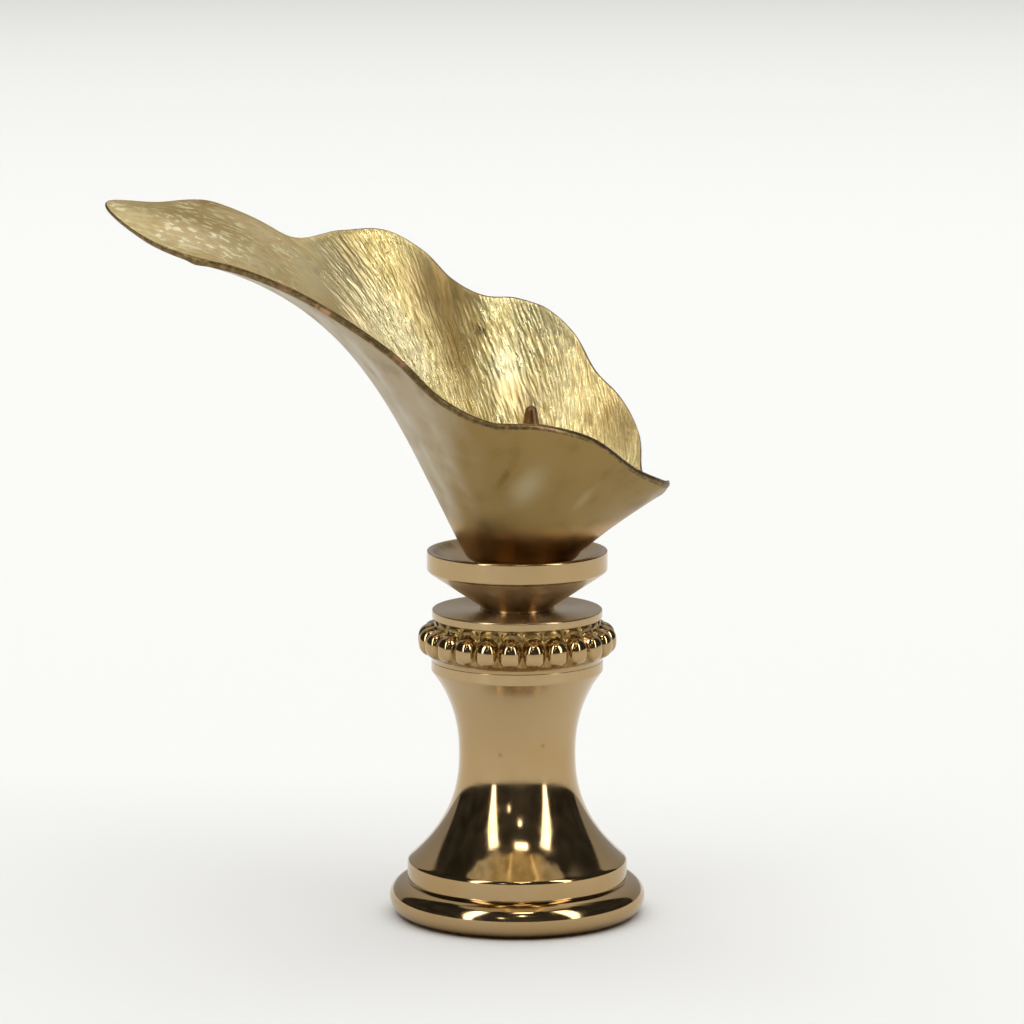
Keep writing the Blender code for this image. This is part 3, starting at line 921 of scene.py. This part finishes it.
def make_bloom(inner, outer, edge):
    """The bloom's sheet: a finely ridged inside, a plain outside and a rounded cut edge."""
    curve = rim_curve()
    fine_rim = even_points(curve, np.arange(INSIDE_WALLS) / INSIDE_WALLS)
    grid, inward, along = sheet_grid(curled(fine_rim), INSIDE_RINGS, EDGE_ROUND)
    inside = along_grain(grid + inward * half_thickness(INSIDE_RINGS))
    facing = unit(along_grain(inward))
    headings = unit(np.gradient(inside, axis=1))
    places = inside.reshape(-1, 3)
    relief = bark_relief(places, headings.reshape(-1, 3))
    smooth = smooth_share(places)
    share = 1 - (1 - SMOOTH_RELIEF) * smooth
    fade = smooth_step(np.arange(INSIDE_RINGS), INSIDE_RINGS - 1, INSIDE_RINGS - RIDGE_FADE_RINGS)
    depth = ((relief - 1) * share).reshape(inside.shape[:2]) * fade * BARK_HEIGHT
    inside = inside + facing * depth[..., None]
    # The third trait is the inside's tone: painted highlights, painted shade and stains
    inside_traits = np.stack([relief, smooth, patches(places, INSIDE_STAINS_AND_PAINTED_LIGHT, 1)], axis=1)
    inside_traits = inside_traits.reshape(INSIDE_WALLS, INSIDE_RINGS, 3)
    strands = strand_places(inside)
    strands[..., 2] = patches(places, LEANING_RIDGES, 1).reshape(INSIDE_WALLS, INSIDE_RINGS)

    edge_step = INSIDE_WALLS // EDGE_WALLS
    coarse_rim = curled(fine_rim)[::INSIDE_WALLS // OUTSIDE_WALLS]
    outside_grid, outside_inward, _ = sheet_grid(coarse_rim, OUTSIDE_RINGS, EDGE_BEVEL_DOWN)
    outside = outside_grid - outside_inward * half_thickness(OUTSIDE_RINGS)

    loops = []
    slots = []
    traits = []
    grains = []

    def add(loop, slot, trait=(0.5, 1.0, 0.0), grain=(0.0, 0.0, 0.0)):
        loops.append(loop)
        slots.append(slot)
        traits.append(np.broadcast_to(trait, loop.shape))
        grains.append(np.broadcast_to(grain, loop.shape))

    def add_outside(loop, slot, tones):
        tone = patches(loop, tones, -1)[:, None]
        add(loop, slot, np.concatenate([np.zeros((len(loop), 2)), tone], axis=1))

    floor = BLOOM_BOTTOM + SHEET_THICKNESS / 2
    middle = np.array((HEEL_OFFSET, 0, 0))
    hub = (inside[:, 0] - middle) * np.array((1, 1, 0))
    hub = hub[::INSIDE_WALLS // HUB_WALLS]
    for share in HUB_SHARES:
        add(middle + hub * share + np.array((0, 0, floor)), 0)
    for ring in range(INSIDE_RINGS):
        add(inside[:, ring], 0, inside_traits[:, ring], strands[:, ring])
    slots[-1] = 2
    rim_half = SHEET_THICKNESS / 2 - RIM_THINNING
    rim_points, rim_inward, rim_along = (rows[::edge_step, -1] for rows in (grid, inward, along))
    for loop in edge_loops(rim_points, rim_inward, rim_along, rim_half):
        add_outside(loop, 2, EDGE_TONES)
    for ring in range(OUTSIDE_RINGS - 1, -1, -1):
        add_outside(outside[:, ring], 1, OUTSIDE_STAINS_AND_PAINTED_LIGHT)
    foot = outside[:, 0] * np.array((1, 1, 0))
    add_outside(foot + np.array((0, 0, SAUCER_FLOOR - SEAT_SINK)), 1, OUTSIDE_STAINS_AND_PAINTED_LIGHT)
    bloom = loft("lily_bloom_sheet", loops, [inner, outer, edge], slots)
    relief, smooth, tone = np.concatenate(traits).T
    add_attribute(bloom, "grain", np.concatenate(grains))
    add_attribute(bloom, "relief", relief)
    add_attribute(bloom, "smooth", smooth)
    add_attribute(bloom, "tone", tone)
    place_on_body(bloom, "lily_bloom")


def make_spadix(material):
    tip = SPADIX_TIP_DIAMETER / 2
    sink = PIECE_GAP + SEAT_SINK
    bottom = BLOOM_BOTTOM + SHEET_THICKNESS / 2 + PIECE_GAP
    profile = []
    for row in range(1, SPADIX_TIP_ROWS + 1):
        angle = math.pi / 2 * row / SPADIX_TIP_ROWS
        profile.append((tip * math.sin(angle), SPADIX_HEIGHT - tip * (1 - math.cos(angle))))
    profile.append((SPADIX_SHOULDER_DIAMETER / 2, SPADIX_HEIGHT - SPADIX_SHOULDER_DROP))
    profile += [(SPADIX_DIAMETER / 2, 0), (SPADIX_DIAMETER / 2, -sink)]
    loops = [ring_of(radius, height, SPADIX_COLUMNS) for radius, height in profile]
    place = np.array((SPADIX_OFFSET, 0, bottom))
    spadix = loft("spadix_rod", [loop + place for loop in loops], [material])
    place_on_body(spadix, "spadix")


# Nodes

def set_inputs(item, inputs):
    """Gives a node's inputs their values: numbers, colours or other nodes' outputs."""
    for name, value in inputs.items():
        if isinstance(value, bpy.types.NodeSocket):
            item.id_data.links.new(value, item.inputs[name])
        else:
            item.inputs[name].default_value = value


def add_node(tree, kind, settings=None, inputs=None):
    item = tree.nodes.new("ShaderNode" + kind)
    for name, value in (settings or {}).items():
        setattr(item, name, value)
    set_inputs(item, inputs or {})
    return item


def next_node(kind, inputs, settings=None):
    """A shader node in the tree of the nodes that feed it."""
    tree = next(value.id_data for value in inputs.values() if isinstance(value, bpy.types.NodeSocket))
    return add_node(tree, kind, settings, inputs)


def maths(operation, *values):
    inputs = dict(enumerate(values))
    return next_node("Math", inputs, {"operation": operation}).outputs[0]


def plus(first, second):
    return maths("ADD", first, second)


def times(first, second):
    return maths("MULTIPLY", first, second)


def ramp(value, start, end, low=0.0, high=1.0):
    """A smooth step from low to high while value goes from start to end."""
    inputs = {"Value": value, "From Min": start, "From Max": end, "To Min": low, "To Max": high}
    return next_node("MapRange", inputs, {"interpolation_type": "SMOOTHSTEP"}).outputs[0]


def mix_colour(share, first, second):
    """The second colour over the first, by share."""
    values = [(*value, 1.0) if isinstance(value, tuple) else value for value in (share, first, second)]
    return next_node("Mix", dict(zip((0, 6, 7), values)), {"data_type": "RGBA"}).outputs[2]


def axes_of(vector):
    """A vector's three numbers."""
    return next_node("SeparateXYZ", {"Vector": vector}).outputs[:]


def stretched(vector, scale):
    return next_node("Mapping", {"Vector": vector, "Scale": scale}).outputs[0]


def noise_of(vector, scale, detail=2.0, roughness=0.5):
    """Noise round 0.5 with this many cells to the vector's unit."""
    inputs = {"Vector": vector, "Scale": scale, "Detail": detail, "Roughness": roughness}
    return next_node("TexNoise", inputs).outputs[0]


def bump(height, distance, normal=None):
    """The shading of a relief this high, over another one's where normal is given."""
    inputs = {"Height": height, "Distance": distance}
    if normal:
        inputs["Normal"] = normal
    return next_node("Bump", inputs).outputs[0]


def new_metal(name):
    """A material with a plain metallic shader, and its object coordinates."""
    material = bpy.data.materials.new(name)
    material.use_nodes = True
    tree = material.node_tree
    shader = tree.nodes["Principled BSDF"]
    shader.inputs["Metallic"].default_value = 1.0
    place = add_node(tree, "TexCoord").outputs["Object"]
    return material, tree, shader, place


def attribute(tree, name, output="Fac"):
    return add_node(tree, "Attribute", {"attribute_name": name}).outputs[output]


def polished_brass():
    """Polished brass, satin and turned on the tops, with dirt where the grime attribute says. The
    satin parts take a lighter colour, painted light that brightens the tops.
    """
    material, tree, shader, place = new_metal("polished_brass_worn")
    satin = attribute(tree, "satin")
    cloud = noise_of(place, 220.0, 3.0)
    colour = mix_colour(ramp(cloud, 0.35, 0.75), POLISHED, POLISHED_WARM)
    # satin parts take the lighter colour: painted light on the tops
    colour = mix_colour(satin, colour, SATIN_TOP_PAINTED_LIGHTER)
    speck = noise_of(place, 1900.0, 3.0)
    dirt = times(attribute(tree, "grime"), ramp(speck, 0.3, 0.62, 0.5, 1.0))
    wear = noise_of(place, 900.0, 4.0)
    roughness = ramp(wear, 0.3, 0.8, *POLISHED_ROUGHNESS)
    roughness = plus(roughness, times(dirt, DIRT_ROUGHNESS))
    x, y, z = axes_of(place)
    squares = plus(maths("POWER", x, 2.0), maths("POWER", y, 2.0))
    radius = maths("SQRT", squares)
    lathe = next_node("CombineXYZ", {"X": radius, "Z": z}).outputs[0]
    normal = bump(noise_of(lathe, 9000.0), TURNING_HEIGHT)
    dents = noise_of(place, 300.0, 1.0)
    round_axis = add_node(tree, "Tangent", {"direction_type": "RADIAL", "axis": "Z"}).outputs[0]
    set_inputs(shader, {
        "Base Color": mix_colour(dirt, colour, GROOVE_DIRT),
        "Roughness": plus(roughness, times(satin, SATIN_ROUGHNESS)),
        "Anisotropic": times(satin, TURNED_STRETCH),
        "Anisotropic Rotation": 0.25,
        "Tangent": round_axis,
        "Normal": bump(dents, DENT_HEIGHT, normal),
    })
    return material


def inner_sheet():
    """Gold crests over dark furrows, and a tan lip with short bright flecks along it, whose brightness
    is partly a painted glint. The tone patches paint highlights and shade, and a few stains.
    """
    material, tree, shader, place = new_metal("bark_brass_inside")
    smooth = attribute(tree, "smooth")
    tone = attribute(tree, "tone")
    across = axes_of(place)[0]
    cloud = noise_of(place, 260.0, 3.0)
    grit = noise_of(place, 2600.0, 3.0)

    grain_across, grain_along, lean = axes_of(attribute(tree, "grain", "Vector"))
    flat = next_node("CombineXYZ", {"X": grain_across, "Y": grain_along}).outputs[0]
    strand = noise_of(stretched(flat, STRAND_SCALE), 1.0, 3.0, 0.6)
    drift = times(noise_of(stretched(flat, DRIFT_SCALE), 1.0), LEANING_DRIFT)
    phase = plus(times(grain_across, 1 / LEANING_WIDTH), drift)
    saw = times(maths("SUBTRACT", 1.0, maths("FRACT", phase)), lean)
    relief = times(attribute(tree, "relief"), 0.45)
    crest = plus(relief, ramp(strand, 0.36, 0.62, 0.0, 0.55))

    along_lip = {"Vector": place, "Rotation": (0, FLECK_LEAN, 0), "Scale": (FLECK_STRETCH, 1, 1)}
    lengthwise = next_node("Mapping", along_lip, {"vector_type": "TEXTURE"}).outputs[0]
    fleck = ramp(noise_of(lengthwise, FLECK_SCALE, 1.5), 0.54, 0.60)
    mark = ramp(noise_of(lengthwise, FLECK_SCALE), 0.50, 0.36)
    spread = ramp(noise_of(place, 300.0, 1.0), 0.4, 0.56, 0.15, 1.0)
    lip = times(smooth, ramp(across, FLECK_ROOT, FLECK_FULL))
    fleck = times(times(fleck, spread), lip)

    tan = mix_colour(ramp(cloud, 0.35, 0.65), LIP_TAN, LIP_GREEN)
    tan = mix_colour(ramp(across, LIP_ROOT_START, LIP_ROOT_FULL), tan, LIP_ROOT)
    tan = mix_colour(times(mark, 0.3), tan, BARK_DARK)
    warm = ramp(across, BARK_WARM_START, BARK_WARM_FULL, 0.0, BARK_WARM_SHARE)
    pale = ramp(across, BARK_PALE_START, BARK_PALE_FULL, 0.0, BARK_PALE_SHARE)
    colour = mix_colour(ramp(crest, 0.2, 0.75), BARK_DARK, BARK_GOLD)
    for share, layer in (
        (ramp(cloud, 0.45, 0.75, 0.0, 0.55), BARK_GREEN),
        (warm, BARK_WARM),
        (pale, BARK_PALE),
        (smooth, tan),
        # tone: painted shade and stain where positive, painted highlight where negative
        (ramp(tone, 0.0, 1.0, 0.0, 0.75), BARK_STAIN_AND_PAINTED_SHADE),
        (ramp(tone, 0.0, -1.0, 0.0, 0.6), BARK_PAINTED_HIGHLIGHT),
        # flecks: painted glints, over their own small bump and lower roughness
        (fleck, BARK_PAINTED_HIGHLIGHT),
    ):
        colour = mix_colour(share, colour, layer)

    roughness = plus(ramp(crest, 0.3, 0.8, 0.38, 0.26), times(smooth, 0.14))
    ridged = times(strand, ramp(smooth, 0.0, 1.0, 1.0, 0.12))
    normal = bump(ridged, STRAND_HEIGHT)
    normal = bump(saw, LEANING_HEIGHT, normal)
    normal = bump(grit, GRIT_HEIGHT, normal)
    set_inputs(shader, {
        "Base Color": colour,
        "Roughness": maths("SUBTRACT", roughness, times(fleck, 0.2)),
        "Specular Tint": (*BARK_GRAZING, 1.0),
        "Normal": bump(fleck, FLECK_HEIGHT, normal),
    })
    return material


def outer_sheet():
    """Satin beige that turns to brown round the cup, with olive stains, and paler patches that are
    painted light.
    """
    material, tree, shader, place = new_metal("satin_brass_outside")
    tone = attribute(tree, "tone")
    cloud = noise_of(place, 200.0, 4.0)
    blotch = noise_of(place, 420.0, 3.0)
    x, _, height = axes_of(place)
    side = plus(x, ramp(cloud, 0.3, 0.7, -BROWN_WANDER, BROWN_WANDER))
    stain = times(tone, ramp(blotch, 0.3, 0.6, 0.5, 1.2))
    colour = mix_colour(ramp(side, BROWN_START, BROWN_FULL), SATIN_BEIGE, SATIN_BROWN)
    for share, layer in (
        (ramp(blotch, 0.55, 0.75, 0.0, 0.3), SATIN_STAIN),
        (ramp(stain, 0.0, 1.0, 0.0, 0.9), SATIN_STAIN),
        # negative tone: painted light, a lit crease and pale streaks
        (ramp(tone, 0.0, -1.0, 0.0, 0.9), SATIN_PALE_PAINTED_LIGHT),
        (ramp(height, WARM_FOOT_TOP, WARM_FOOT_FULL), SATIN_WARM),
    ):
        colour = mix_colour(share, colour, layer)
    set_inputs(shader, {
        "Base Color": colour,
        "Roughness": ramp(blotch, 0.3, 0.7, 0.30, 0.42),
        "Normal": bump(blotch, BLOTCH_HEIGHT),
    })
    return material


def sheet_edge():
    material, tree, shader, place = new_metal("cut_edge_darkened")
    mottle = noise_of(place, 700.0, 4.0)
    crumbs = noise_of(place, 2600.0, 3.0)
    bare = plus(attribute(tree, "tone"), ramp(mottle, 0.5, 0.7, -0.3, 0.5))
    dirt = mix_colour(ramp(crumbs, 0.42, 0.62), EDGE_DIRT, EDGE_OLIVE)
    normal = bump(mottle, EDGE_MOTTLE_HEIGHT)
    set_inputs(shader, {
        "Base Color": mix_colour(ramp(bare, 0.0, 1.0), dirt, EDGE_COPPER),
        "Roughness": EDGE_ROUGHNESS,
        "Normal": bump(crumbs, EDGE_CRUMB_HEIGHT, normal),
    })
    return material


def coppery():
    material, _, shader, place = new_metal("coppery_rod")
    streak = noise_of(stretched(place, ROD_STREAKS), 1500.0, 3.0)
    set_inputs(shader, {
        "Base Color": mix_colour(ramp(streak, 0.35, 0.7), COPPER_BRIGHT, COPPER_DARK),
        "Roughness": ramp(streak, 0.3, 0.7, 0.28, 0.42),
        "Normal": bump(streak, BLOTCH_HEIGHT),
    })
    return material


# Stage: floor, surroundings, light and camera

def box_mask(across, up, left, right, low, high, soft):
    """1 in a patch of the surroundings between two azimuths and two elevations, in degrees."""
    sides = times(ramp(across, left - soft, left + soft),
                  ramp(across, right - soft, right + soft, 1.0, 0.0))
    ends = times(ramp(up, low - soft, low + soft),
                 ramp(up, high - soft, high + soft, 1.0, 0.0))
    return times(sides, ends)


def make_surroundings():
    """What the metal mirrors: a pale tent, and a dark room with tall lights behind the camera.

    Diffuse light leaves it out, so the floor is lit by make_lights().
    """
    world = bpy.data.worlds.new("studio")
    bpy.context.scene.world = world
    world.use_nodes = True
    world.cycles_visibility.diffuse = False
    tree = world.node_tree
    facing = add_node(tree, "TexCoord").outputs["Generated"]
    x, y, z = axes_of(facing)
    across = times(maths("ARCTAN2", x, times(y, -1.0)), 180 / math.pi)
    up = times(maths("ARCSINE", z), 180 / math.pi)
    murk = noise_of(facing, 4.0, 3.0)
    mottle = noise_of(facing, 9.0, 3.0)

    wave = ramp(murk, 0.3, 0.7, -ROOM_WAVE, ROOM_WAVE)
    uneven_up = plus(up, times(wave, ramp(up, 35, 50)))
    room = box_mask(across, uneven_up, -ROOM_SIDES, ROOM_SIDES, 0.0, ROOM_TOP, 1.0)
    dark = times(room, ramp(murk, 0.3, 0.7, 0.6 * ROOM_DARK, 1.5 * ROOM_DARK))
    tent = ramp(up, 5, 60, BACKDROP_BRIGHT, TENT_BRIGHT)
    light = plus(dark, times(tent, maths("SUBTRACT", 1.0, room)))
    for left, right, low, high, soft, bright in LIGHT_PATCHES:
        patch = box_mask(across, up, left, right, low, high, soft)
        light = plus(light, times(patch, bright))
    narrow = ramp(up, 0, 45, 0.45, 1.0)
    for place, half, low, high in TALL_LIGHTS:
        aside = maths("ABSOLUTE", maths("SUBTRACT", across, place))
        aside = maths("DIVIDE", aside, narrow)
        patch = times(ramp(aside, half + 2, half - 2),
                      box_mask(across, up, -180, 180, low, high, 1.0))
        light = plus(light, times(patch, TALL_LIGHT_BRIGHT))

    above = box_mask(across, uneven_up, -CEILING_SIDES, CEILING_SIDES, ROOM_TOP, 100, 3.0)
    uneven = times(above, ramp(mottle, 0.35, 0.65, -0.32, 0.3))
    for left, right in CEILING_MARKS:
        start = ramp(x, left - CEILING_MARK_SOFT, left + CEILING_MARK_SOFT)
        end = ramp(x, right - CEILING_MARK_SOFT, right + CEILING_MARK_SOFT, CEILING_MARK_BRIGHT, 0.0)
        uneven = plus(uneven, times(times(start, end), above))
    middle = times(ramp(maths("ABSOLUTE", x), 0.4, 0.2),
                   ramp(mottle, 0.35, 0.6, 1.0, 0.6))
    overhead = mix_colour(middle, CEILING_BEIGE, CEILING_WARM)
    set_inputs(tree.nodes["Background"], {
        "Strength": times(light, plus(1.0, uneven)),
        "Color": mix_colour(above, STUDIO_WHITE, overhead),
    })


def make_floor():
    mesh = bpy.data.meshes.new("floor")
    half = FLOOR_SIZE / 2
    corners = [(-half, -half, 0), (half, -half, 0), (half, half, 0), (-half, half, 0)]
    mesh.from_pydata(corners, [], [(0, 1, 2, 3)])
    material = bpy.data.materials.new("pale_floor")
    material.use_nodes = True
    set_inputs(material.node_tree.nodes["Principled BSDF"], {
        "Base Color": (*FLOOR_COLOUR, 1.0),
        "Roughness": FLOOR_ROUGHNESS,
        "Specular IOR Level": FLOOR_SHINE,
    })
    mesh.materials.append(material)
    floor = add_object("floor", mesh)


def make_lights():
    """A large soft light overhead for the floor, which the metal doesn't mirror."""
    light = bpy.data.lights.new("ceiling_light", "AREA")
    light.shape = "SQUARE"
    light.size = CEILING_LIGHT_SIZE
    light.energy = CEILING_LIGHT_POWER
    lamp = add_object("ceiling_light", light)
    lamp.location = (0, CEILING_LIGHT_BACK, CEILING_LIGHT_HEIGHT)
    lamp.visible_glossy = False


def make_camera():
    camera = add_object("camera", bpy.data.cameras.new("camera"))
    camera.data.sensor_width = CAMERA_SENSOR
    camera.data.lens = CAMERA_LENS
    camera.data.clip_start = CAMERA_NEAR
    camera.data.clip_end = CAMERA_FAR
    camera.location = CAMERA_PLACE
    camera.rotation_euler = (CAMERA_PITCH, 0, 0)
    bpy.context.scene.camera = camera


def main():
    bpy.context.scene.view_settings.view_transform = "Standard"
    make_camera()
    make_floor()
    make_surroundings()
    make_lights()
    brass = polished_brass()
    make_base(brass)
    make_neck(brass)
    make_bloom(inner_sheet(), outer_sheet(), sheet_edge())
    make_spadix(coppery())


main()
